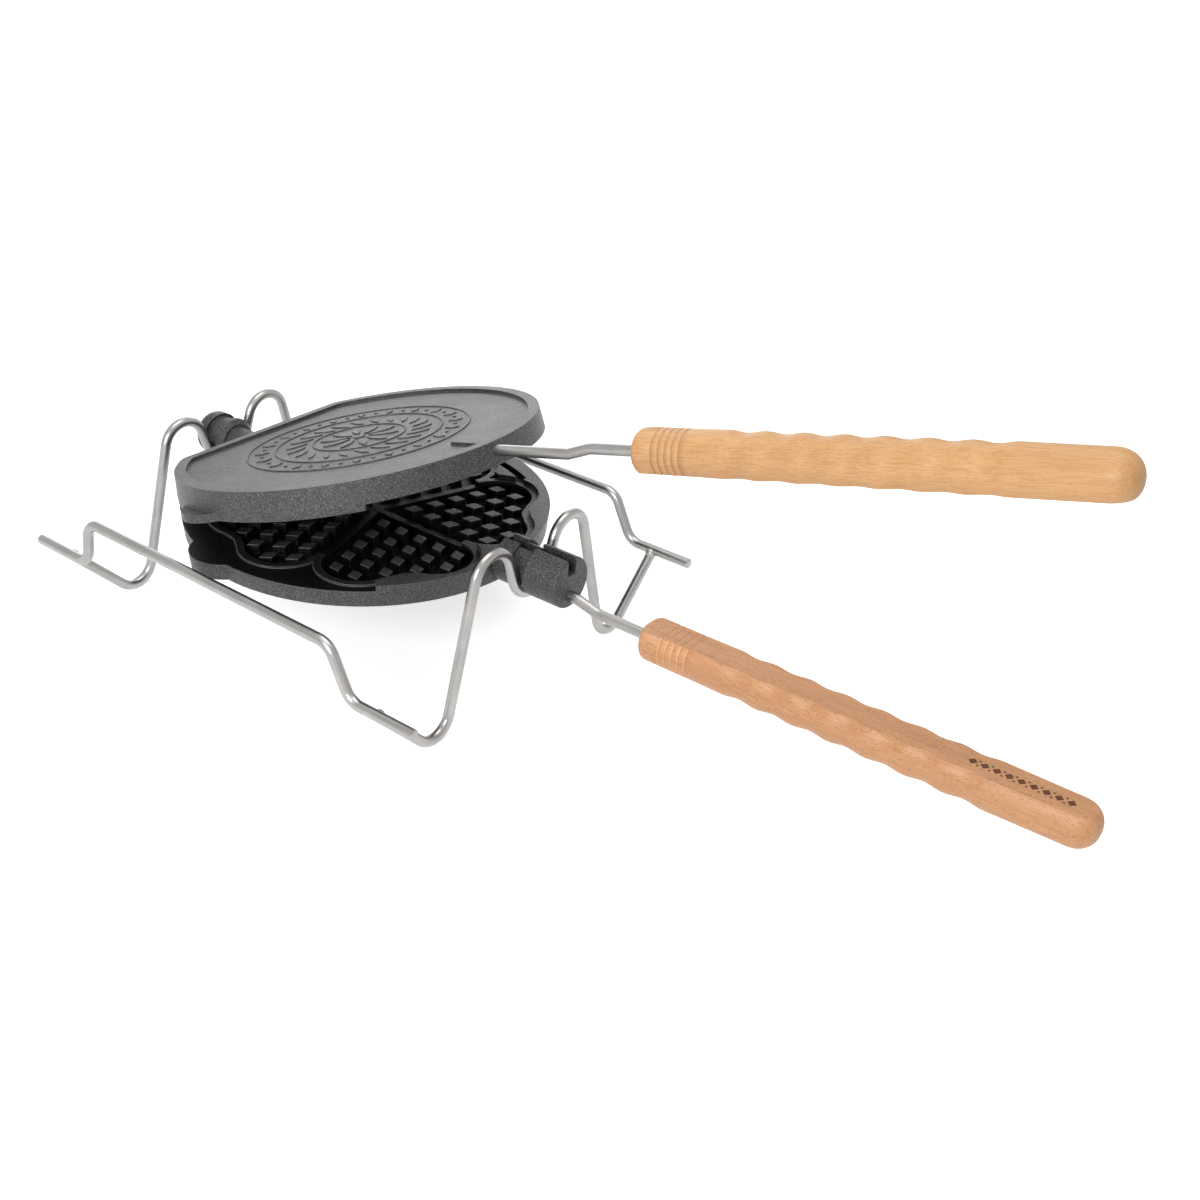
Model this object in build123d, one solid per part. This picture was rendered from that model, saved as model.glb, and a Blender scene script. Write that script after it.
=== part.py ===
# Rotating heart waffle iron: two cast halves on a hinge, turning in a bent wire stand.
# Working frame: X along the handles, Z up, origin on the turning axis above the plate centre.
import math
import os
from build123d import *

os.makedirs("parts", exist_ok=True)

# Driving sizes
plate_r = 105.0
half_height = 13.0
wire_d = 6.0
grip_r = 12.0
grip_length = 240.0
lid_open = 15.0

# Castings
part_gap = 0.15
wall_taper = 6.0
hinge_side_set = 19.0
chord_x = hinge_side_set - plate_r
corner_r = 13.0
rim_width = 6.5
field_depth = 2.0
heart_depth = 9.0
band_depth = 2.5
band_width = 4.0
step_depth = 3.0
fit_gap = 0.4
step_start = -128.0
step_end = -43.0

# Waffle pattern, in shares of the plate
pattern_x = plate_r * 0.067
heart_count = 5
heart_half_angle = 36.0
rib_half = 2.0
rib_depth = 5.5
lobe_out = plate_r * 2 / 3
lobe_r = lobe_out * 0.3
cusp_out = lobe_out * 1.19
peg_pitch = lobe_r * 2 / 3
peg_base = peg_pitch * 0.52
peg_top = peg_base * 0.87
peg_height = heart_depth - 3.8
peg_edge_gap = 1.0

# Side lobe and tab
lobe_x = -0.15 * plate_r
lobe_y = plate_r - 13.0
side_lobe_r = 20.0
tab_thickness = 4.4

# Boss, trunnion and hinge
neck_r = 11.5
neck_gap = 0.3
boss_r = 14.5
boss_length = 22.5
flange_r = 13.5
flange_length = 11.5
groove_half = 5.0
slot_gap = 0.4
hinge_set = 10.0
hinge_x = chord_x - hinge_set
knuckle_r = 6.0
pin_r = 2.5
pin_running_gap = 0.06
ear_inner_y = 19.0
ear_width = 8.0
ear_mid_width = 12.0
ear_side_gap = 0.3

# Wire and stand
wire_r = wire_d / 2
front_bracket_x = plate_r + flange_length + groove_half
back_bracket_x = hinge_x - flange_length - 14.5
boss_end_x = front_bracket_x + groove_half + boss_length
rail_y = plate_r + 13.5
rail_low_z = -36.0
rail_high_z = -8.0
rail_overhang = 26.5
rail_back_x = back_bracket_x - rail_overhang
rail_front_x = front_bracket_x + rail_overhang
back_step_x = back_bracket_x + 20.0
front_step_x0 = front_bracket_x - 31.0
front_step_x1 = front_bracket_x - 17.0
rail_bend_r = 11.0
loop_y = 32.0
loop_z = 5.0
loop_r = 14.0
foot_bend_y = rail_y - 41.5
foot_bend_z = rail_low_z - 23.5
foot_bend_r = 13.0

# Handles
rod_cover = 0.5
rod_z = neck_r - wire_r - rod_cover
rod_start_x = plate_r - 19.0
rod_pad_x = plate_r - 6.0
jog_x0 = boss_end_x + 4.0
jog_x1 = jog_x0 + 15.0
grip_flat_z = 2.4
grip_axis_z = grip_flat_z + grip_r * 0.76
grip_x0 = jog_x1 + 32.0
grip_x1 = grip_x0 + grip_length
rod_end_x = grip_x0 + grip_length * 0.6
wave_count = 7
wave_pitch = grip_length / 12
wave_height = 0.5
ring_count = 5
ring_pitch = 4.0
ring_width = 0.8
ring_depth = 0.4

ground = -(foot_bend_z - foot_bend_r - wire_r)
stand_x = (front_bracket_x + back_bracket_x) / 2


# Helpers
def rounded_path(points, radii):
    """Wire through the corner points, each inner corner rounded to its own radius."""
    pts = [Vector(*p) for p in points]
    edges = []
    last = pts[0]
    for i in range(1, len(pts) - 1):
        a = (pts[i - 1] - pts[i]).normalized()
        b = (pts[i + 1] - pts[i]).normalized()
        half = math.radians(a.get_angle(b)) / 2
        back = radii[i - 1] / math.tan(half)
        start = pts[i] + a * back
        end = pts[i] + b * back
        middle_way = (a + b).normalized()
        middle = pts[i] + middle_way * (radii[i - 1] / math.sin(half) - radii[i - 1])
        edges.append(Line(last, start))
        edges.append(ThreePointArc(start, middle, end))
        last = end
    edges.append(Line(last, pts[-1]))
    return Wire([e.edge() if hasattr(e, "edge") else e for e in edges])


def rod_along(path, radius):
    plane = Plane(path @ 0, z_dir=path % 0)
    return sweep(plane * Circle(radius), path=path)


def x_cylinder(radius, x0, x1, z=0.0, y=0.0):
    return Pos(x0, y, z) * Rot(0, 90, 0) * Cylinder(radius, x1 - x0, align=(Align.CENTER, Align.CENTER, Align.MIN))


def y_cylinder(radius, y0, y1, x=0.0, z=0.0):
    return Pos(x, y0, z) * Rot(-90, 0, 0) * Cylinder(radius, y1 - y0, align=(Align.CENTER, Align.CENTER, Align.MIN))


def block(x0, x1, y0, y1, z0, z1):
    return Pos((x0 + x1) / 2, (y0 + y1) / 2, (z0 + z1) / 2) * Box(x1 - x0, y1 - y0, z1 - z0)


# Plate outline
def plate_outline(inset=0.0):
    """Circle cut by a straight hinge side, with rounded corners."""
    r = plate_r - inset
    side = chord_x + inset
    shape = Circle(r) - Pos(side - r, 0) * Rectangle(2 * r, 2 * r)
    corners = shape.vertices().filter_by(lambda v: v.X < side + 1)
    return fillet(corners, corner_r - inset * 0.6)


# Hearts
def lobe_centre():
    off = math.degrees(math.asin((lobe_r + rib_half) / lobe_out))
    turn = math.radians(heart_half_angle - off)
    return lobe_out * math.cos(turn), lobe_out * math.sin(turn)


def heart(grow=0.0):
    cu, cv = lobe_centre()
    r = lobe_r + grow
    s = math.sin(math.radians(heart_half_angle))
    c = math.cos(math.radians(heart_half_angle))
    tip = (rib_half - grow) / s
    points = [(tip, 0), (cu - r * s, -cv - r * c), (cu + r, -cv), (cusp_out + grow, 0)]
    points += [(cu + r, cv), (cu - r * s, cv + r * c)]
    shape = make_face(Polyline(*points, close=True))
    return shape + Pos(cu, cv) * Circle(r) + Pos(cu, -cv) * Circle(r)


def heart_places():
    step = 360 / heart_count
    return [Pos(pattern_x, 0) * Rot(0, 0, step / 2 + i * step) for i in range(heart_count)]


def pegs():
    """Rows of rhombic posts parallel to the straight sides of a heart, trimmed to its outline."""
    a = math.radians(heart_half_angle)
    row_step = peg_pitch * math.cos(a)
    side_step = peg_pitch * math.sin(a)
    post = loft([rhombus(peg_base, a).face(), (Pos(0, 0, peg_height) * rhombus(peg_top, a)).face()])
    room = Pos(0, 0, -heart_depth - 1) * extrude(heart(-peg_edge_gap), amount=heart_depth)
    found = []
    for row in range(1, 8):
        for place in range(row):
            spot = Pos((row + 0.87) * row_step, (2 * place - row + 1) * side_step, -heart_depth)
            for piece in ((spot * post) & room).solids():
                if piece.volume > post.volume * 0.2:
                    found.append(piece)
    return found


def rhombus(side, a):
    u = side * math.cos(a)
    v = side * math.sin(a)
    return make_face(Polyline((u, 0), (0, v), (-u, 0), (0, -v), close=True))


# Half casting, opening face up, seen as the lower half
def step_region(trim=0.0):
    """Near side sector in which the lower parting face steps down and the upper one follows it."""
    reach = plate_r * 2
    first = math.radians(step_start + trim)
    last = math.radians(step_end - trim)
    points = [(0, 0)]
    for angle in (first, (first + last) / 2, last):
        points.append((reach * math.cos(angle), reach * math.sin(angle)))
    return make_face(Polyline(*points, close=True))


def side_bump():
    return Pos(lobe_x, -lobe_y) * Circle(side_lobe_r)


def flower(grow):
    """All hearts of the pattern as one outline."""
    outlines = [place * heart(grow) for place in heart_places()]
    whole = outlines[0]
    for other in outlines[1:]:
        whole = whole + other
    return whole


def casting(outlines):
    """Half of the iron from its outlines, with the waffle pattern and the sunk field behind."""
    depth = half_height - part_gap
    body = Pos(0, 0, -part_gap) * extrude(outlines[0], amount=-depth, taper=wall_taper)
    for extra in outlines[1:]:
        body = body + Pos(0, 0, -part_gap) * extrude(extra, amount=-depth, taper=wall_taper)
    field = plate_outline(rim_width + half_height * math.tan(math.radians(wall_taper)))
    body = body - Pos(0, 0, -half_height) * extrude(field, amount=field_depth)
    pad = block(rod_start_x - 10, rod_pad_x, -4.5, 4.5, -half_height + 0.4, -half_height + field_depth + 0.5)
    body = body + pad
    body = body - Pos(0, 0, -band_depth) * extrude(flower(band_width), amount=band_depth + 1)
    for place in heart_places():
        body = body - Pos(0, 0, -heart_depth) * extrude(place * heart(), amount=heart_depth + 1)
        rib = block(0, lobe_out * 0.95, -rib_half - 0.05, rib_half + 0.05, -rib_depth, 1)
        body = body - place * Rot(0, 0, heart_half_angle) * rib
    return body + [place * peg for place in heart_places() for peg in pegs()]


def relief_pocket(angle):
    """Crescent pocket in the parting face between two hearts, with a small notch inside it."""
    place = Pos(pattern_x, 0) * Rot(0, 0, angle)
    rim_in = plate_r - 11.5
    crescent = Circle(rim_in) - Pos(-6, 0) * Circle(rim_in + 1)
    crescent = crescent & Pos(rim_in - 3.5, 0) * Rectangle(24, 30)
    notch_x = rim_in - 19
    notch = make_face(Polyline((notch_x, 0), (notch_x + 6, -3.0), (notch_x + 6, 3.0), close=True))
    depth = 4.0
    return extrude(place * Pos(0, 0, -depth) * (crescent + notch), amount=depth + 2)


# Lower half with boss, trunnion and ears
def front_boss():
    groove0 = front_bracket_x - groove_half
    groove1 = front_bracket_x + groove_half
    boss = x_cylinder(boss_r, groove1, boss_end_x)
    boss = fillet(boss.edges().filter_by(GeomType.CIRCLE), 1.2)
    boss = boss + x_cylinder(neck_r, groove0 - 1, groove1 + 1)
    boss = boss + x_cylinder(flange_r, plate_r + 1, groove0)
    low = block(rod_start_x, plate_r + 5, -20, 20, -20, -part_gap)
    root = x_cylinder(neck_r, plate_r - 6, plate_r + 2) & low
    boss = boss + root
    slot_w = wire_d + 2 * slot_gap
    slot = block(rod_pad_x - 1, boss_end_x + 1, -slot_w / 2, slot_w / 2, rod_z - wire_r - slot_gap, 30)
    return boss - slot


def rear_trunnion():
    groove0 = back_bracket_x - groove_half
    groove1 = back_bracket_x + groove_half
    root_r = hinge_set - 0.8
    spool = x_cylinder(root_r, groove1 - 1, hinge_x - 1)
    low = x_cylinder(root_r, hinge_x - 2, chord_x + 4)
    low = low & block(hinge_x - 5, chord_x + 10, -20, 20, -20, -part_gap - 0.3)
    inner = x_cylinder(flange_r, groove1, groove1 + 5)
    inner = chamfer(inner.edges().filter_by(GeomType.CIRCLE).sort_by(Axis.X)[-1], 2.5)
    outer = x_cylinder(flange_r, groove0 - 11, groove0)
    outer = fillet(outer.edges().filter_by(GeomType.CIRCLE).sort_by(Axis.X)[0], 7)
    return spool + low + inner + x_cylinder(neck_r, groove0 - 1, groove1 + 1) + outer


def ear(y0, y1, up, bore_r):
    """Knuckle on the hinge axis with a web to the hinge side wall; up is 1 or -1."""
    web = block(hinge_x, chord_x + 3, y0, y1, part_gap + 0.2, knuckle_r)
    if up < 0:
        web = block(hinge_x, chord_x + 3, y0, y1, -knuckle_r, -part_gap - 0.2)
    part = y_cylinder(knuckle_r, y0, y1, hinge_x) + web
    return part - y_cylinder(bore_r, y0 - 1, y1 + 1, hinge_x)


def ear_spans():
    first = (ear_inner_y, ear_inner_y + ear_width)
    middle = (first[1] + ear_side_gap, first[1] + ear_side_gap + ear_mid_width)
    last = (middle[1] + ear_side_gap, middle[1] + ear_side_gap + ear_width)
    return first, middle, last


def both_sides(part):
    return [part, mirror(part, about=Plane.XZ)]


def rod_bore(up):
    return x_cylinder(wire_r, rod_start_x, jog_x0, up * rod_z)


def lower_plate():
    body = casting([plate_outline(), side_bump()])
    lowered = ((plate_outline() + side_bump()) & step_region()) - flower(band_width)
    floor_z = -part_gap - step_depth - fit_gap
    body = body - Pos(0, 0, floor_z) * extrude(lowered, amount=step_depth + 2)
    for angle in (72, 144):
        body = body - relief_pocket(angle)
    body = body + front_boss() + rear_trunnion()
    first, middle, last = ear_spans()
    for span in (first, last):
        body = body + both_sides(ear(span[0], span[1], -1, pin_r))
    return body - rod_bore(-1)


def upper_plate():
    """The half above, whose near side has a skirt and a thin tab in place of the step and lobe."""
    body = Rot(180, 0, 0) * casting([plate_outline()])
    trim = math.degrees(fit_gap / plate_r) * 1.5
    skirt = (plate_outline() & step_region(trim)) - flower(band_width + fit_gap)
    body = body + Pos(0, 0, -step_depth) * extrude(skirt, amount=step_depth + part_gap)
    tab = side_bump() - Circle(plate_r - 8)
    body = body + Pos(0, 0, -step_depth) * extrude(tab, amount=tab_thickness)
    first, middle, last = ear_spans()
    body = body + both_sides(ear(middle[0], middle[1], 1, pin_r + pin_running_gap))
    return body - rod_bore(1)


def hinge_pins():
    first, middle, last = ear_spans()
    pin = y_cylinder(pin_r, first[0] - 1, last[1] + 1, hinge_x)
    pin = chamfer(pin.edges().filter_by(GeomType.CIRCLE), 0.5)
    return both_sides(pin)


# Handles
def handle_rod(up):
    points = [(rod_start_x, 0, up * rod_z), (jog_x0, 0, up * rod_z), (jog_x1, 0, up * grip_axis_z)]
    points.append((rod_end_x, 0, up * grip_axis_z))
    return rod_along(rounded_path(points, [14, 14]), wire_r)


def grip(up):
    """Turned handle with finger waves, planed flat on the side facing the other grip."""
    wave_x = grip_x0 + grip_length * 0.26
    edges = [ThreePointArc((grip_x0, 0, grip_r - 4), (grip_x0 + 1.2, 0, grip_r - 1.2), (grip_x0 + 4, 0, grip_r))]
    middle_r = grip_r - 2 * wave_height
    edges.append(Line(edges[-1] @ 1, (wave_x - wave_pitch / 2, 0, middle_r)))
    for i in range(2 * wave_count + 1):
        x = wave_x + (i - 1) * wave_pitch / 2
        side = -1 if i % 2 else 1
        crest = (x + wave_pitch / 4, 0, middle_r + side * wave_height)
        edges.append(ThreePointArc(edges[-1] @ 1, crest, (x + wave_pitch / 2, 0, middle_r)))
    edges.append(Line(edges[-1] @ 1, (grip_x1 - grip_r, 0, grip_r - 0.2)))
    nose_side = (grip_x1 - grip_r * 0.22, 0, grip_r * 0.66)
    edges.append(ThreePointArc(edges[-1] @ 1, nose_side, (grip_x1, 0, 0)))
    edges.append(Line((grip_x1, 0, 0), (grip_x0, 0, 0)))
    edges.append(Line((grip_x0, 0, 0), (grip_x0, 0, grip_r - 4)))
    body = revolve(make_face(Wire([e.edge() for e in edges])), Axis.X)
    for i in range(ring_count):
        x = grip_x0 + 13 + ring_pitch * i
        ring = x_cylinder(grip_r + 2, x, x + ring_width) - x_cylinder(grip_r - ring_depth, x, x + ring_width)
        body = body - ring
    body = Rot(180, 0, 0) * body
    flat = grip_axis_z - grip_flat_z
    body = body - block(grip_x0 - 5, grip_x1 + 5, -20, 20, flat, 40)
    body = Pos(0, 0, -grip_axis_z) * body
    if up > 0:
        body = mirror(body, about=Plane.XY)
    return body - x_cylinder(wire_r, grip_x0 - 5, rod_end_x + 0.3, up * grip_axis_z)


# Stand
def bracket_path(x):
    """Planar W: end foot, table bend, loop, dip under the neck, then mirrored."""
    dip_r = neck_r + neck_gap + wire_r
    arcs = [(0, 0, dip_r, 1), (loop_y, loop_z, loop_r, -1), (foot_bend_y, foot_bend_z, foot_bend_r, 1)]
    end = Vector(rail_y, rail_low_z)
    points = []
    for a, b in zip(arcs, arcs[1:]):
        start, finish = crossing_tangent(a, b)
        points.append((start, finish))
    c = arcs[-1]
    to_end = end - Vector(c[0], c[1])
    reach = to_end.length
    swing = math.acos(c[2] / reach)
    way = math.atan2(to_end.Y, to_end.X) - swing
    leave = Vector(c[0] + c[2] * math.cos(way), c[1] + c[2] * math.sin(way))
    tip = end - (end - leave).normalized() * wire_r
    half = []
    half.append(arc_piece(arcs[0], -math.pi / 2, points[0][0]))
    half.append(Line(points[0][0], points[0][1]))
    half.append(arc_piece(arcs[1], points[0][1], points[1][0]))
    half.append(Line(points[1][0], points[1][1]))
    half.append(arc_piece(arcs[2], points[1][1], leave))
    half.append(Line(leave, tip))
    edges = [e.edge() for e in half]
    edges = edges + [mirror(e, about=Plane.YZ) for e in edges]
    plane = Plane((x, 0, 0), x_dir=(0, 1, 0), z_dir=(1, 0, 0))
    return Wire([(plane.location * e).edge() for e in edges])


def crossing_tangent(a, b):
    """Inner tangent line from arc a to arc b, which turn opposite ways."""
    ca = Vector(a[0], a[1])
    cb = Vector(b[0], b[1])
    line = cb - ca
    tilt = math.acos((a[2] + b[2]) / line.length)
    way = math.atan2(line.Y, line.X) - a[3] * tilt
    spot = Vector(math.cos(way), math.sin(way))
    return ca + spot * a[2], cb - spot * b[2]


def arc_piece(arc, start, finish):
    centre = Vector(arc[0], arc[1])
    a0 = start if isinstance(start, float) else math.atan2(start.Y - centre.Y, start.X - centre.X)
    a1 = math.atan2(finish.Y - centre.Y, finish.X - centre.X)
    while arc[3] > 0 and a1 < a0:
        a1 += 2 * math.pi
    while arc[3] < 0 and a1 > a0:
        a1 -= 2 * math.pi
    spots = []
    for a in (a0, (a0 + a1) / 2, a1):
        spots.append(centre + Vector(math.cos(a), math.sin(a)) * arc[2])
    return ThreePointArc(*spots)


def bracket(x):
    path = bracket_path(x)
    return rod_along(path, wire_r)


def rail(side):
    y = side * rail_y
    points = [(rail_back_x, y, rail_low_z), (back_step_x - 2, y, rail_low_z), (back_step_x + 2, y, rail_high_z)]
    points += [(front_step_x0, y, rail_high_z), (front_step_x1, y, rail_low_z), (rail_front_x, y, rail_low_z)]
    body = rod_along(rounded_path(points, [rail_bend_r] * 4), wire_r)
    ends = body.edges().filter_by(GeomType.CIRCLE).sort_by(Axis.X)
    return chamfer([ends[0], ends[-1]], 0.6)


def weld_beads(rods):
    beads = []
    for x in (back_bracket_x, front_bracket_x):
        for side in (-1, 1):
            centre = (x, side * (rail_y - wire_r * 0.8), rail_low_z - wire_r * 0.6)
            beads.append(Pos(*centre) * Sphere(wire_r * 1.15))
    return [bead - rods for bead in beads]


# Build and save
def save(name, shape):
    solids = []
    items = shape if isinstance(shape, (list, tuple)) else [shape]
    for item in items:
        solids += list(item.solids())
    placed = [Pos(-stand_x, 0, ground) * s for s in solids]
    body = placed[0] if len(placed) == 1 else Compound(children=placed)
    export_step(body, "parts/" + name + ".step")
    print(name, len(solids), round(sum(s.volume for s in solids)))


def lid_pose():
    return Pos(hinge_x, 0, 0) * Rot(0, -lid_open, 0) * Pos(-hinge_x, 0, 0)


near_rail = rail(-1)
far_rail = rail(1)
front_bracket = bracket(front_bracket_x)
back_bracket = bracket(back_bracket_x)
save("near_rail", near_rail)
save("far_rail", far_rail)
save("front_bracket", front_bracket)
save("back_bracket", back_bracket)
save("weld_beads", weld_beads([near_rail, far_rail, front_bracket, back_bracket]))
save("lower_plate", lower_plate())
save("lower_handle_rod", handle_rod(-1))
save("lower_grip", grip(-1))
save("hinge_pins", hinge_pins())
save("upper_plate", lid_pose() * upper_plate())
save("upper_handle_rod", lid_pose() * handle_rod(1))
save("upper_grip", lid_pose() * grip(1))
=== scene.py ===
import math

import bmesh
import bpy
from mathutils import Matrix, Vector


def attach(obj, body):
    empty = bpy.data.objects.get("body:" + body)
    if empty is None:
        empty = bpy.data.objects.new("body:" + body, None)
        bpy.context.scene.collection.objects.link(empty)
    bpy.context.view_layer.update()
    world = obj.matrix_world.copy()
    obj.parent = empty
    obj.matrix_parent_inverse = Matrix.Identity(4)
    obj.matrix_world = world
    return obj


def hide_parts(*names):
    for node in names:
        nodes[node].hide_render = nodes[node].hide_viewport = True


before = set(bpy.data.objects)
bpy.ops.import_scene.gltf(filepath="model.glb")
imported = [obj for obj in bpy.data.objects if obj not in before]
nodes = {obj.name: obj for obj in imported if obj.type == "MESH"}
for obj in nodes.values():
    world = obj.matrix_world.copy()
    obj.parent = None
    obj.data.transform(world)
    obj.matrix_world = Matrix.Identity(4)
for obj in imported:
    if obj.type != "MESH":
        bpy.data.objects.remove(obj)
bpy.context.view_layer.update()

# Camera fitted to the photograph
AZ = math.radians(35.112)
EL = math.radians(29.791)
ROLL = math.radians(3.896)
TARGET = Vector((0.168324, 0.0, 0.07276))
DIST = 0.760318
SENSOR = 36.0
FOCAL_PX = 1459.62
FRAME_PX = 1200.0

# Places from the CAD, in metres
AXIS_Z = 0.0755                               # turning axis above the table
SHIFT_X = 0.00025                             # part.py's origin in the frame
HINGE = Vector((-0.09575, 0.0, AXIS_Z))
LID = math.radians(15.0)                      # how far the lid stands open at rest
FIELD_Z = 0.011                               # floor of the lid's sunk field, above the axis

# Walls of the pattern side, measured from the hinge axis and set in a little
PLATE_X = 0.096
PLATE_R = 0.1046
CHORD_X = 0.0122
WALL_SLOPE = 0.1051
LOBE = (PLATE_X - 0.01575, -0.092, 0.0196)
INSIDE_FROM = 0.0004
INSIDE_TO = 0.0098
PER_METRE = 100.0                             # a depth of 10 mm reads as 1 in a ramp

# Grips
GRIP_START = 0.200
GRIP_END = 0.440
GRIP_LENGTH = GRIP_END - GRIP_START
GRIP_AXIS = 0.01152                           # grip axis beside the turning axis
GRIP_R = 0.012
FLAT_HEIGHT = 0.0083                          # planed flat, from the grip axis
FRONT_ROUND = 0.004
NOSE_LENGTH = 0.013
NOSE_R = 0.0118
NOSE_POWER = 2.3
WAVES_FROM = 0.050
WAVES_TO = 0.190
WAVE_PITCH = 0.020

# Relief and burnt marks
ROOT = 0.0003                                 # how deep raised marks start in the iron
RELIEF_HEIGHT = 0.0006
BURNT_HEIGHT = 0.00004
BURNT_MARKS = 9
BURNT_PITCH = 0.0058

FLOOR_HALF = 8.0


def add_camera():
    back = Vector((math.sin(AZ) * math.cos(EL), -math.cos(AZ) * math.cos(EL), math.sin(EL)))
    right = (-back).cross(Vector((0, 0, 1))).normalized()
    up = right.cross(-back)
    rolled_right = right * math.cos(ROLL) + up * math.sin(ROLL)
    rolled_up = -right * math.sin(ROLL) + up * math.cos(ROLL)
    place = Matrix((rolled_right, rolled_up, back)).transposed().to_4x4()
    place.translation = TARGET + back * DIST
    data = bpy.data.cameras.new("camera")
    data.lens = SENSOR * FOCAL_PX / FRAME_PX
    data.sensor_width = SENSOR
    data.clip_start = 0.01
    camera = bpy.data.objects.new("camera", data)
    camera.matrix_world = place
    bpy.context.scene.collection.objects.link(camera)
    bpy.context.scene.camera = camera


# Material helpers
def new_material(name):
    mat = bpy.data.materials.new(name)
    mat.use_nodes = True
    nt = mat.node_tree
    return mat, nt, nt.nodes["Principled BSDF"]


def coords(nt, scale=(1, 1, 1), turn=0.0, origin=(0, 0, 0)):
    """Object coordinates turned about Y into a part's own frame, then stretched."""
    tc = nt.nodes.new("ShaderNodeTexCoord")
    mp = nt.nodes.new("ShaderNodeMapping")
    mp.vector_type = "TEXTURE"
    mp.inputs["Location"].default_value = origin
    mp.inputs["Rotation"].default_value = (0, turn, 0)
    mp.inputs["Scale"].default_value = [1.0 / s for s in scale]
    nt.links.new(tc.outputs["Object"], mp.inputs["Vector"])
    return mp.outputs["Vector"]


def noise(nt, vec, scale, detail=4.0, rough=0.5):
    n = nt.nodes.new("ShaderNodeTexNoise")
    n.inputs["Scale"].default_value = scale
    n.inputs["Detail"].default_value = detail
    n.inputs["Roughness"].default_value = rough
    nt.links.new(vec, n.inputs["Vector"])
    return n.outputs["Fac"]


def ramp(nt, fac, stops):
    """Colour ramp whose stops are pairs of a place and a grey level or a colour."""
    r = nt.nodes.new("ShaderNodeValToRGB")
    els = r.color_ramp.elements
    while len(els) < len(stops):
        els.new(0.5)
    for e, (pos, col) in zip(els, stops):
        e.position = pos
        e.color = (col, col, col, 1.0) if isinstance(col, float) else (*col, 1.0)
    nt.links.new(fac, r.inputs["Fac"])
    return r.outputs["Color"]


def mix(nt, a, b, fac=1.0, mode="MULTIPLY"):
    """Mix of two colours, each a socket or a constant."""
    m = nt.nodes.new("ShaderNodeMix")
    m.data_type = "RGBA"
    m.blend_type = mode
    for socket, value in ((m.inputs[0], fac), (m.inputs[6], a), (m.inputs[7], b)):
        if isinstance(value, float):
            socket.default_value = value
        elif isinstance(value, tuple):
            socket.default_value = (*value, 1.0)
        else:
            nt.links.new(value, socket)
    return m.outputs[2]


def calc(nt, op, a, b=0.0):
    m = nt.nodes.new("ShaderNodeMath")
    m.operation = op
    for i, v in enumerate((a, b)):
        if isinstance(v, (int, float)):
            m.inputs[i].default_value = v
        else:
            nt.links.new(v, m.inputs[i])
    return m.outputs[0]


def edge_mask(nt, radius, low, high):
    """Rounded normal, and white along convex and hollow edges from how far it leans."""
    bevel = nt.nodes.new("ShaderNodeBevel")
    bevel.samples = 6
    bevel.inputs["Radius"].default_value = radius
    geo = nt.nodes.new("ShaderNodeNewGeometry")
    dot = nt.nodes.new("ShaderNodeVectorMath")
    dot.operation = "DOT_PRODUCT"
    nt.links.new(bevel.outputs["Normal"], dot.inputs[0])
    nt.links.new(geo.outputs["Normal"], dot.inputs[1])
    return bevel.outputs["Normal"], ramp(nt, dot.outputs["Value"], [(low, 1.0), (high, 0.0)])


def bump(nt, bsdf, height, dist, strength, chain=None):
    b = nt.nodes.new("ShaderNodeBump")
    b.inputs["Distance"].default_value = dist
    b.inputs["Strength"].default_value = strength
    nt.links.new(height, b.inputs["Height"])
    if chain is not None:
        nt.links.new(chain, b.inputs["Normal"])
    nt.links.new(b.outputs["Normal"], bsdf.inputs["Normal"])
    return b.outputs["Normal"]


def disc(nt, split, draft, x, y, radius):
    """1 inside a tapered round wall, with its centre measured from the hinge axis."""
    u = calc(nt, "SUBTRACT", split.outputs["X"], x)
    v = calc(nt, "SUBTRACT", split.outputs["Y"], y)
    square = calc(nt, "ADD", calc(nt, "MULTIPLY", u, u), calc(nt, "MULTIPLY", v, v))
    reach = calc(nt, "SQRT", square)
    return calc(nt, "LESS_THAN", calc(nt, "ADD", reach, draft), radius)


def pattern_side(nt, turn, side):
    """Depth below a half's parting face, and 1 where the pattern is sunk into it."""
    split = nt.nodes.new("ShaderNodeSeparateXYZ")
    nt.links.new(coords(nt, turn=turn, origin=tuple(HINGE)), split.inputs[0])
    depth = calc(nt, "MULTIPLY", split.outputs["Z"], side)
    draft = calc(nt, "MULTIPLY", depth, WALL_SLOPE)
    near = disc(nt, split, draft, PLATE_X, 0.0, PLATE_R)
    if side < 0:
        near = calc(nt, "MAXIMUM", near, disc(nt, split, draft, *LOBE))
    past_chord = calc(nt, "SUBTRACT", split.outputs["X"], draft)
    past_chord = calc(nt, "GREATER_THAN", past_chord, CHORD_X)
    near = calc(nt, "MULTIPLY", near, past_chord)
    deep = calc(nt, "GREATER_THAN", depth, INSIDE_FROM)
    shallow = calc(nt, "LESS_THAN", depth, INSIDE_TO)
    return depth, calc(nt, "MULTIPLY", calc(nt, "MULTIPLY", near, deep), shallow)


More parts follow.
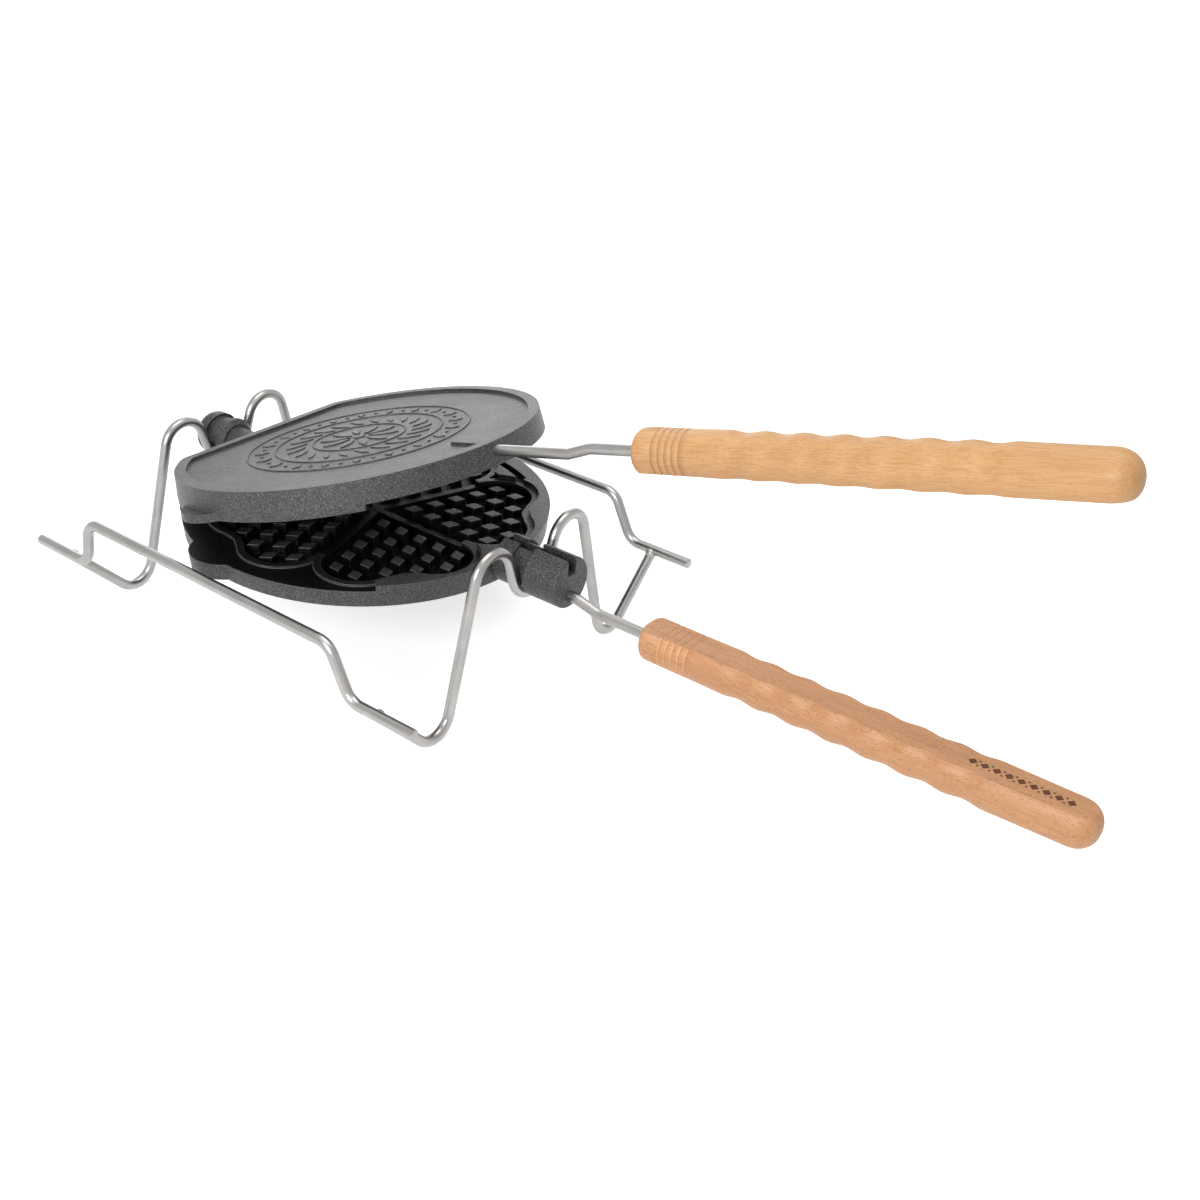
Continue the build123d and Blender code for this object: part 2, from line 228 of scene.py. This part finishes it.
# Materials
def cast_iron(name, turn, side, edge=0.16):
    """Sand cast iron: speckled grey outside, seasoned black inside the pattern with painted
    shade and painted highlights set by depth; edges take the edge tone.
    """
    mat, nt, bsdf = new_material(name)
    flat = coords(nt)
    grain = noise(nt, flat, 1250, 2.5, 0.6)
    coarse = noise(nt, flat, 420, 3, 0.55)
    cloud = noise(nt, flat, 26, 4, 0.6)
    outside = ramp(nt, grain, [(0.36, (0.028, 0.028, 0.029)), (0.52, (0.058, 0.058, 0.060)),
                               (0.66, (0.135, 0.135, 0.138))])
    outside = mix(nt, outside, ramp(nt, cloud, [(0.3, 0.80), (0.7, 1.0)]))

    depth, inside = pattern_side(nt, turn, side)
    rounded, along_edges = edge_mask(nt, 0.0006, 0.92, 0.995)
    level = calc(nt, "MULTIPLY", depth, PER_METRE)
    # Seasoned black set by depth: the lighter shallow band and peg tops are painted highlights,
    # the dark lowered near side and the ever darker pockets are painted shade
    seasoned_and_painted_light = ramp(nt, level, [(0.22, 0.040), (0.30, 0.009), (0.370, 0.009), (0.376, 0.080),
                                (0.390, 0.080), (0.42, 0.006), (0.55, 0.002)])
    seasoned_and_painted_light = mix(nt, seasoned_and_painted_light, ramp(nt, grain, [(0.38, 0.55), (0.64, 1.0)]))
    rubbed = ramp(nt, level, [(0.41, 0.95), (0.47, 0.05)])
    seasoned_and_painted_light = mix(nt, seasoned_and_painted_light, (0.20, 0.20, 0.205), mix(nt, along_edges, rubbed), "MIX")
    # Outside edges take the edge tone: lighter wear on the plates, and on the relief a dark
    # painted shadow along the raised marks
    outside = mix(nt, outside, (edge, edge, edge), calc(nt, "MULTIPLY", along_edges, 0.5), "MIX")
    nt.links.new(mix(nt, outside, seasoned_and_painted_light, inside, "MIX"), bsdf.inputs["Base Color"])
    outer_rough = ramp(nt, cloud, [(0.3, 0.36), (0.7, 0.47)])
    rough = mix(nt, outer_rough, (0.36, 0.36, 0.36), inside, "MIX")
    nt.links.new(rough, bsdf.inputs["Roughness"])
    bsdf.inputs["Metallic"].default_value = 0.3
    bsdf.inputs["Specular IOR Level"].default_value = 0.4
    first = bump(nt, bsdf, grain, 0.00040, 1.0, rounded)
    second = bump(nt, bsdf, coarse, 0.00045, 0.6, first)
    bump(nt, bsdf, cloud, 0.0010, 0.3, second)
    return mat


def steel(name, scale, tone=(0.42, 0.41, 0.40), rough=(0.26, 0.38), turn=0.0):
    """Drawn wire, with die lines that run along it."""
    mat, nt, bsdf = new_material(name)
    streak = noise(nt, coords(nt, scale, turn), 1.0, 3, 0.6)
    soft = noise(nt, coords(nt), 70, 3, 0.5)
    low = tuple(c * 0.78 for c in tone)
    drawn = ramp(nt, streak, [(0.32, low), (0.66, tone)])
    color = mix(nt, drawn, ramp(nt, soft, [(0.3, 0.86), (0.7, 1.0)]))
    nt.links.new(color, bsdf.inputs["Base Color"])
    nt.links.new(ramp(nt, streak, [(0.3, rough[0]), (0.7, rough[1])]), bsdf.inputs["Roughness"])
    bsdf.inputs["Metallic"].default_value = 1.0
    first = bump(nt, bsdf, streak, 0.00003, 0.5)
    bump(nt, bsdf, soft, 0.0002, 0.2, first)
    return mat


def beech(name, dark, middle, light, turn=0.0, flecks=1.0):
    """Oiled beech: long soft figure, fine pores and short dark flecks along the grain."""
    mat, nt, bsdf = new_material(name)
    rings = noise(nt, coords(nt, (5, 70, 45), turn), 1.0, 5, 0.6)
    fine = noise(nt, coords(nt, (70, 1500, 1500), turn), 1.0, 2, 0.5)
    fleck = nt.nodes.new("ShaderNodeTexVoronoi")
    fleck.inputs["Scale"].default_value = 1.0
    nt.links.new(coords(nt, (300, 1700, 1700), turn), fleck.inputs["Vector"])
    patch = noise(nt, coords(nt, (40, 160, 160), turn), 1.0, 2, 0.5)
    wood = ramp(nt, rings, [(0.28, dark), (0.5, middle), (0.72, light)])
    lines = ramp(nt, fine, [(0.34, (0.86, 0.82, 0.78)), (0.58, (1, 1, 1))])
    dots = ramp(nt, fleck.outputs["Distance"], [(0.14, (0.42, 0.28, 0.20)), (0.30, (1, 1, 1))])
    some = ramp(nt, patch, [(0.38, 0.30 * flecks), (0.58, flecks)])
    color = mix(nt, mix(nt, wood, lines), dots, some)
    rounded, along_edges = edge_mask(nt, 0.0004, 0.90, 0.99)
    color = mix(nt, color, light, calc(nt, "MULTIPLY", along_edges, 0.35), "MIX")
    nt.links.new(color, bsdf.inputs["Base Color"])
    nt.links.new(ramp(nt, rings, [(0.3, 0.44), (0.7, 0.54)]), bsdf.inputs["Roughness"])
    bump(nt, bsdf, fine, 0.00008, 0.5, rounded)
    return mat


def burnt(name):
    """Charred wood, matt and uneven."""
    mat, nt, bsdf = new_material(name)
    char = noise(nt, coords(nt, (400, 1500, 1500)), 1.0, 2, 0.5)
    color = ramp(nt, char, [(0.35, (0.085, 0.032, 0.014)), (0.7, (0.17, 0.075, 0.036))])
    nt.links.new(color, bsdf.inputs["Base Color"])
    nt.links.new(ramp(nt, char, [(0.3, 0.6), (0.7, 0.8)]), bsdf.inputs["Roughness"])
    bsdf.inputs["Specular IOR Level"].default_value = 0.2
    bump(nt, bsdf, char, 0.0001, 0.5)
    return mat


def dress(name, mat):
    """Give every slot of a CAD node one material."""
    ob = nodes[name]
    if not ob.material_slots:
        ob.data.materials.append(mat)
    for slot in ob.material_slots:
        slot.material = mat


# Outlines and raised marks of the ornament
def lens(centre, angle, start, length, width, lean=0.0):
    """Pointed leaf that starts at a radius from the centre and leans to one side."""
    points = []
    steps = 9
    for side in (1, -1):
        for i in range(steps):
            t = i / steps if side > 0 else 1 - i / steps
            points.append((t * length, side * width / 2 * math.sin(math.pi * t) ** 0.8))
    placed = []
    a = angle + lean
    for u, v in points:
        x = centre[0] + start * math.cos(angle) + u * math.cos(a) - v * math.sin(a)
        y = centre[1] + start * math.sin(angle) + u * math.sin(a) + v * math.cos(a)
        placed.append((x, y))
    return placed


def polygon(centre, angle, reach, sides, along, across):
    """Stretched regular polygon at a radius from the centre, in line with it."""
    cx = centre[0] + reach * math.cos(angle)
    cy = centre[1] + reach * math.sin(angle)
    points = []
    for i in range(sides):
        t = 2 * math.pi * i / sides
        u, v = along * math.cos(t), across * math.sin(t)
        x = cx + u * math.cos(angle) - v * math.sin(angle)
        y = cy + u * math.sin(angle) + v * math.cos(angle)
        points.append((x, y))
    return points


def raise_outline(bm, outline, z, height, draft):
    """Closed raised mark with sloping sides."""
    cx = sum(p[0] for p in outline) / len(outline)
    cy = sum(p[1] for p in outline) / len(outline)
    low = [bm.verts.new((x, y, z - ROOT)) for x, y in outline]
    top = []
    for x, y in outline:
        d = max(math.hypot(x - cx, y - cy), 1e-6)
        k = max(0.25, 1 - draft / d)
        top.append(bm.verts.new((cx + (x - cx) * k, cy + (y - cy) * k, z + height)))
    n = len(outline)
    bm.faces.new(top)
    bm.faces.new(low[::-1])
    for i in range(n):
        j = (i + 1) % n
        bm.faces.new((low[i], low[j], top[j], top[i]))


def raise_ring(bm, centre, radius, width, z, height, draft):
    """Closed raised ring with sloping sides."""
    half = width / 2
    profile = [(-half, -ROOT), (-half + draft, height), (half - draft, height), (half, -ROOT)]
    steps = 120
    rows = []
    for i in range(steps):
        a = 2 * math.pi * i / steps
        row = []
        for u, h in profile:
            x = centre[0] + (radius + u) * math.cos(a)
            y = centre[1] + (radius + u) * math.sin(a)
            row.append(bm.verts.new((x, y, z + h)))
        rows.append(row)
    for i in range(steps):
        a, b = rows[i], rows[(i + 1) % steps]
        for k in range(4):
            m = (k + 1) % 4
            bm.faces.new((a[k], b[k], b[m], a[m]))


def add_piece(name, bm, matrix, body, mat):
    bmesh.ops.recalc_face_normals(bm, faces=bm.faces)
    mesh = bpy.data.meshes.new(name)
    bm.to_mesh(mesh)
    bm.free()
    mesh.transform(matrix)
    mesh.materials.append(mat)
    ob = bpy.data.objects.new(name, mesh)
    bpy.context.scene.collection.objects.link(ob)
    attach(ob, body)
    return ob


def lid_place():
    """From part.py's working frame to the lid at rest, opened about the hinge."""
    turned = Matrix.Rotation(-LID, 4, "Y")
    place = Matrix.Translation(HINGE) @ turned @ Matrix.Translation(-HINGE)
    return place @ Matrix.Translation((SHIFT_X, 0, AXIS_Z))


def lid_relief(mat):
    """Rosette, leaf garland and lozenge border cast on the sunk field of the lid."""
    centre = (0.0, 0.0)
    full_turn = math.pi * 2
    petals, leaves, lozenges = 10, 22, 20
    lean = math.radians(42)
    border_r = 0.0555
    high = RELIEF_HEIGHT
    bm = bmesh.new()
    raise_outline(bm, polygon(centre, 0, 0, 20, 0.0038, 0.0038), FIELD_Z, 0.0008, 0.0008)
    for i in range(petals):
        petal = lens(centre, full_turn * i / petals, 0.0055, 0.0175, 0.0052)
        raise_outline(bm, petal, FIELD_Z, 0.0007, 0.0005)
    for i in range(leaves):
        leaf = lens(centre, full_turn * i / leaves, 0.0305, 0.0140, 0.0038, lean)
        raise_outline(bm, leaf, FIELD_Z, high, 0.0004)
    for i in range(lozenges):
        a = full_turn * (i + 0.5) / lozenges
        lozenge = polygon(centre, a, border_r, 4, 0.0045, 0.0026)
        dot = polygon(centre, a + math.pi / lozenges, border_r, 14, 0.0013, 0.0013)
        raise_outline(bm, lozenge, FIELD_Z, high, 0.0005)
        raise_outline(bm, dot, FIELD_Z, high, 0.0003)
    for radius, width in ((0.0265, 0.0012), (0.0478, 0.0012), (0.0635, 0.0016)):
        raise_ring(bm, centre, radius, width, FIELD_Z, high, 0.0003)
    add_piece("lid_relief", bm, lid_place(), "upper_half", mat)


def burnt_row(mat):
    """Short row of lozenges and dots burnt into the flat of the lower grip."""
    bm = bmesh.new()
    thin, slope = BURNT_HEIGHT, 0.00002
    for i in range(BURNT_MARKS):
        x = GRIP_END - 0.0150 - i * BURNT_PITCH
        raise_outline(bm, polygon((x, -0.0004), 0, 0, 4, 0.0022, 0.0024), 0, thin, slope)
        if i < BURNT_MARKS - 1:
            for y in (-0.0024, 0.0016):
                dot = polygon((x - BURNT_PITCH / 2, y), 0, 0, 10, 0.0007, 0.0006)
                raise_outline(bm, dot, 0, thin, slope)
    place = Matrix.Translation((SHIFT_X, 0, AXIS_Z - GRIP_AXIS + FLAT_HEIGHT))
    add_piece("burnt_row", bm, place, "lower_half", mat)


# Turned grips with finger waves, turned rings and a planed flat
def grip_radius(t):
    """Radius at a distance t from the front end of the grip."""
    if t < FRONT_ROUND:
        rise = math.sqrt(max(0.0, 1 - (1 - t / FRONT_ROUND) ** 2))
        return GRIP_R - FRONT_ROUND + FRONT_ROUND * rise
    nose = t - (GRIP_LENGTH - NOSE_LENGTH)
    if nose > 0:
        return NOSE_R * max(0.0, 1 - (nose / NOSE_LENGTH) ** NOSE_POWER) ** (1 / NOSE_POWER)
    if WAVES_FROM < t < WAVES_TO:
        return 0.01165 + 0.00055 * math.cos((t - WAVES_FROM) * 2 * math.pi / WAVE_PITCH)
    if t < WAVES_FROM:
        return GRIP_R + 0.0002 * max(0.0, (t - 0.038) / 0.012)
    return 0.0122 - 0.0004 * min(1.0, (t - WAVES_TO) / 0.030)


def grip_stations():
    """Distances from the front end, each with its groove depth."""
    spots = [(FRONT_ROUND * (1 - math.cos(i * math.pi / 12)), 0.0) for i in range(7)]
    groove_depth = 0.0004
    for i in range(5):
        mid = 0.0134 + 0.004 * i
        spots += [(mid - 0.0004, 0.0), (mid - 0.00015, groove_depth),
                  (mid + 0.00015, groove_depth), (mid + 0.0004, 0.0)]
    t = 0.034
    while t < GRIP_LENGTH - 0.014:
        spots.append((t, 0.0))
        t += 0.00125
    for i in range(15):
        spots.append((GRIP_LENGTH - NOSE_LENGTH * (1 - math.sin(i * math.pi / 28)), 0.0))
    return spots


def grip_section(t, groove, arc_points, flat_points):
    """Round of the grip from one edge of the flat to the other, then back along the flat."""
    r = max(grip_radius(t), 0.00004)
    lift = math.asin(min(FLAT_HEIGHT / r, 0.999))
    r -= groove
    points = []
    for i in range(arc_points + 1):
        a = lift + (i / arc_points) * (-math.pi - 2 * lift)
        points.append((r * math.cos(a), min(r * math.sin(a), FLAT_HEIGHT)))
    left, right = points[arc_points], points[0]
    for i in range(1, flat_points):
        k = i / flat_points
        points.append((left[0] + (right[0] - left[0]) * k, left[1] + (right[1] - left[1]) * k))
    return points


def add_grip(name, node, up, place, body, mat, ring_mat):
    """Grip in place of its CAD node; up is 1 above the turning axis and -1 below it."""
    bm = bmesh.new()
    arc_points, flat_points = 48, 8
    stations = grip_stations()
    rows = []
    for t, groove in stations:
        x = GRIP_START + t
        section = grip_section(t, groove, arc_points, flat_points)
        rows.append([bm.verts.new((x, -up * y, up * (GRIP_AXIS - z))) for y, z in section])
    count = len(rows[0])
    for i in range(len(rows) - 1):
        grooved = stations[i][1] + stations[i + 1][1] > 0
        for j in range(count):
            k = (j + 1) % count
            face = bm.faces.new((rows[i][j], rows[i][k], rows[i + 1][k], rows[i + 1][j]))
            face.smooth = j < arc_points
            if j < arc_points and grooved:
                face.material_index = 1
    bm.faces.new(rows[0])
    bm.faces.new(rows[-1][::-1])
    # The flat meets the round at a sharp edge, but for the rounded nose
    for i in range(len(rows) - 1):
        for j in (0, arc_points):
            edge = bm.edges.get((rows[i][j], rows[i + 1][j]))
            edge.smooth = i > len(rows) - 9
    for j in range(count):
        bm.edges.get((rows[0][j], rows[0][(j + 1) % count])).smooth = False
    ob = add_piece(name, bm, place, body, mat)
    ob.data.materials.append(ring_mat)
    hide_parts(node)


# Light and floor
def background_rays(nt):
    """1 for rays that show the background: the camera's own and those off metal."""
    path = nt.nodes.new("ShaderNodeLightPath")
    shiny = calc(nt, "MAXIMUM", path.outputs["Is Glossy Ray"],
                 path.outputs["Is Transmission Ray"])
    return calc(nt, "MAXIMUM", path.outputs["Is Camera Ray"], shiny)


def add_area(name, spot, aim, size, power):
    data = bpy.data.lights.new(name, "AREA")
    data.shape = "RECTANGLE"
    data.size = size[0]
    data.size_y = size[1]
    data.energy = power
    ob = bpy.data.objects.new(name, data)
    ob.location = spot
    ob.rotation_euler = (Vector(aim) - Vector(spot)).to_track_quat("-Z", "Y").to_euler()
    bpy.context.scene.collection.objects.link(ob)


def add_lights():
    """Soft grey sky that lights the iron and shows as white, and three area lights."""
    world = bpy.data.worlds.new("world")
    bpy.context.scene.world = world
    world.use_nodes = True
    nt = world.node_tree
    nt.nodes.clear()
    out = nt.nodes.new("ShaderNodeOutputWorld")
    lit = nt.nodes.new("ShaderNodeBackground")
    tc = nt.nodes.new("ShaderNodeTexCoord")
    split = nt.nodes.new("ShaderNodeSeparateXYZ")
    nt.links.new(tc.outputs["Generated"], split.inputs[0])
    sky = ramp(nt, split.outputs["Z"], [(0.0, 0.08), (0.25, 0.16), (0.5, 0.55), (0.85, 1.0)])
    nt.links.new(sky, lit.inputs["Color"])
    lit.inputs["Strength"].default_value = 0.40
    seen = nt.nodes.new("ShaderNodeBackground")
    seen.inputs["Color"].default_value = (1, 1, 1, 1)
    seen.inputs["Strength"].default_value = 1.0
    mixer = nt.nodes.new("ShaderNodeMixShader")
    nt.links.new(background_rays(nt), mixer.inputs[0])
    nt.links.new(lit.outputs[0], mixer.inputs[1])
    nt.links.new(seen.outputs[0], mixer.inputs[2])
    nt.links.new(mixer.outputs[0], out.inputs["Surface"])

    add_area("key", (0.45, -1.6, 0.95), (0.1, 0, 0.07), (0.8, 0.7), 25)
    add_area("top", (0.1, 0.1, 1.5), (0.1, 0, 0.08), (1.1, 1.1), 10)
    add_area("far_left", (-1.15, 1.2, 0.55), (0.0, 0, 0.08), (1.1, 0.7), 5)


def add_floor():
    """Pale floor that keeps the shadow and shows as white, the more so far away."""
    mat = bpy.data.materials.new("floor")
    mat.use_nodes = True
    nt = mat.node_tree
    nt.nodes.clear()
    out = nt.nodes.new("ShaderNodeOutputMaterial")
    dif = nt.nodes.new("ShaderNodeBsdfDiffuse")
    dif.inputs["Color"].default_value = (0.9, 0.9, 0.9, 1)
    glow = nt.nodes.new("ShaderNodeEmission")
    tc = nt.nodes.new("ShaderNodeTexCoord")
    far = nt.nodes.new("ShaderNodeVectorMath")
    far.operation = "LENGTH"
    nt.links.new(tc.outputs["Object"], far.inputs[0])
    spread = calc(nt, "MULTIPLY", far.outputs["Value"], 0.5)
    nt.links.new(ramp(nt, spread, [(0.30, 0.62), (0.75, 1.0)]), glow.inputs["Strength"])
    add = nt.nodes.new("ShaderNodeAddShader")
    mixer = nt.nodes.new("ShaderNodeMixShader")
    nt.links.new(dif.outputs[0], add.inputs[0])
    nt.links.new(glow.outputs[0], add.inputs[1])
    nt.links.new(background_rays(nt), mixer.inputs[0])
    nt.links.new(dif.outputs[0], mixer.inputs[1])
    nt.links.new(add.outputs[0], mixer.inputs[2])
    nt.links.new(mixer.outputs[0], out.inputs["Surface"])
    mesh = bpy.data.meshes.new("floor")
    s = FLOOR_HALF
    mesh.from_pydata([(-s, -s, 0), (s, -s, 0), (s, s, 0), (-s, s, 0)], [], [(0, 1, 2, 3)])
    mesh.materials.append(mat)
    ob = bpy.data.objects.new("floor", mesh)
    bpy.context.scene.collection.objects.link(ob)


def scaled(tones, factor):
    return [tuple(c * factor for c in tone) for tone in tones]


add_camera()

# Iron and wire
along = steel("wire_along", (25, 1100, 25))
across = steel("wire_across", (1100, 25, 25))
DRESS = {
    "near_rail": along,
    "far_rail": along,
    "lower_handle_rod": along,
    "upper_handle_rod": steel("wire_along_up", (25, 1100, 25), turn=-LID),
    "front_bracket": across,
    "back_bracket": across,
    "hinge_pins": steel("pin", (300, 60, 300), tone=(0.34, 0.34, 0.34), rough=(0.3, 0.45)),
    "weld_beads": steel("weld", (200, 200, 200), tone=(0.44, 0.43, 0.41), rough=(0.38, 0.55)),
    "lower_plate": cast_iron("iron_low", 0.0, -1.0),
    "upper_plate": cast_iron("iron_up", -LID, 1.0),
}
for node_name, material in DRESS.items():
    dress(node_name, material)

# Grips, with the turned rings lighter on the lower one and darker on the upper one
LOW_WOOD = ((0.49, 0.235, 0.106), (0.60, 0.305, 0.145), (0.68, 0.370, 0.190))
UP_WOOD = ((0.50, 0.262, 0.106), (0.60, 0.330, 0.140), (0.68, 0.395, 0.182))
beech_low = beech("beech_low", *LOW_WOOD)
beech_up = beech("beech_up", *UP_WOOD, -LID, 0.45)
ring_low = beech("ring_low", *scaled(LOW_WOOD, 1.35))
ring_up = beech("ring_up", *scaled(UP_WOOD, 0.72), -LID)
low_place = Matrix.Translation((SHIFT_X, 0, AXIS_Z))
add_grip("lower_grip_turned", "lower_grip", -1, low_place, "lower_half", beech_low, ring_low)
add_grip("upper_grip_turned", "upper_grip", 1, lid_place(), "upper_half", beech_up, ring_up)

# The relief's edges are darkened to 0.03: painted shadow along the raised marks and at their
# feet
lid_relief(cast_iron("iron_relief", -LID, 1.0, 0.03))
burnt_row(burnt("burnt_wood"))
add_lights()
add_floor()

scene = bpy.context.scene
scene.view_settings.view_transform = "Standard"
